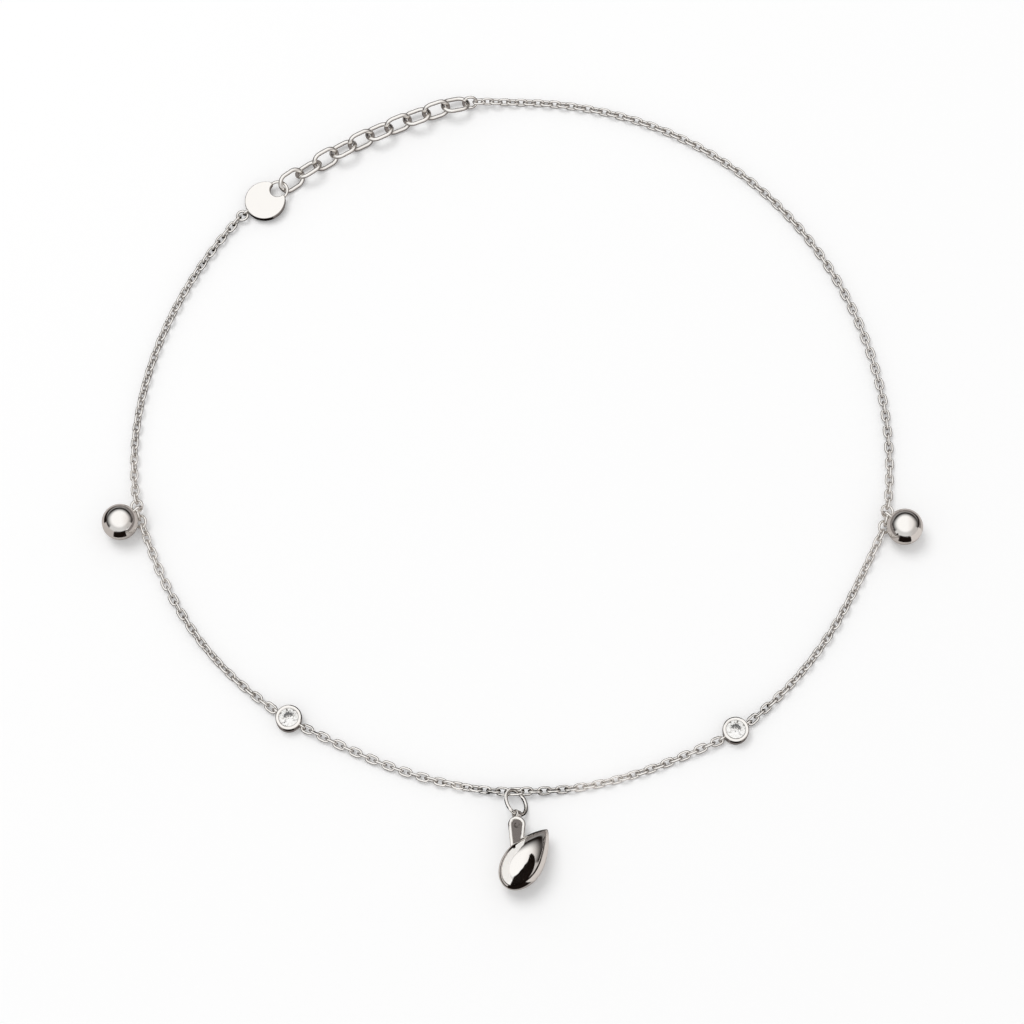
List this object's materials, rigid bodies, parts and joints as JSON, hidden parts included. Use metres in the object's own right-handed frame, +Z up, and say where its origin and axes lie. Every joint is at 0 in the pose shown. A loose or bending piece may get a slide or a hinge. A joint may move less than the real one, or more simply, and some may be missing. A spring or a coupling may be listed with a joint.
{
  "type": "payal anklet",
  "caption": "Fine cable-chain anklet with an extension chain and a disc clasp, polished round bells, bezel-set stones and a pointed drop pendant on a ring.",
  "frame": {"origin": "middle of the closed chain loop, on the surface that the anklet lies on", "axes": "+Z up, out of the surface the anklet lies on; +Y from the pendant across the loop towards the extension chain; +X towards the bell that is on the right, seen from above with the pendant nearest"},
  "size_m": [0.086, 0.091, 0.0042],
  "materials": {
    "silver": "sterling silver, rhodium-bright, mirror polished",
    "stone": "clear round brilliant, polished facets"
  },
  "bodies": {
    "root": {"bell_left": "silver", "bell_left_centre_ring": "silver", "bell_left_lower_ring": "silver", "bell_left_upper_ring": "silver", "bell_right": "silver", "bell_right_centre_ring": "silver", "bell_right_lower_ring": "silver", "bell_right_upper_ring": "silver", "bezel_left": "silver", "bezel_right": "silver", "chain_clasp_to_left_bell": "silver", "chain_left_bell_to_left_stone": "silver", "chain_left_stone_to_pendant": "silver", "chain_pendant_to_right_stone": "silver", "chain_right_bell_to_extension": "silver", "chain_right_stone_to_right_bell": "silver", "clasp_disc": "silver", "clasp_ring": "silver", "extension_end_ring": "silver", "extension_link_01": "silver", "extension_link_02": "silver", "extension_link_03": "silver", "extension_link_04": "silver", "extension_link_05": "silver", "extension_link_06": "silver", "extension_link_07": "silver", "extension_link_08": "silver", "extension_link_09": "silver", "extension_link_10": "silver", "pendant_drop": "silver", "pendant_link": "silver", "pendant_ring": "silver", "stone_left": "stone", "stone_right": "stone"}
  },
  "joints": []
}
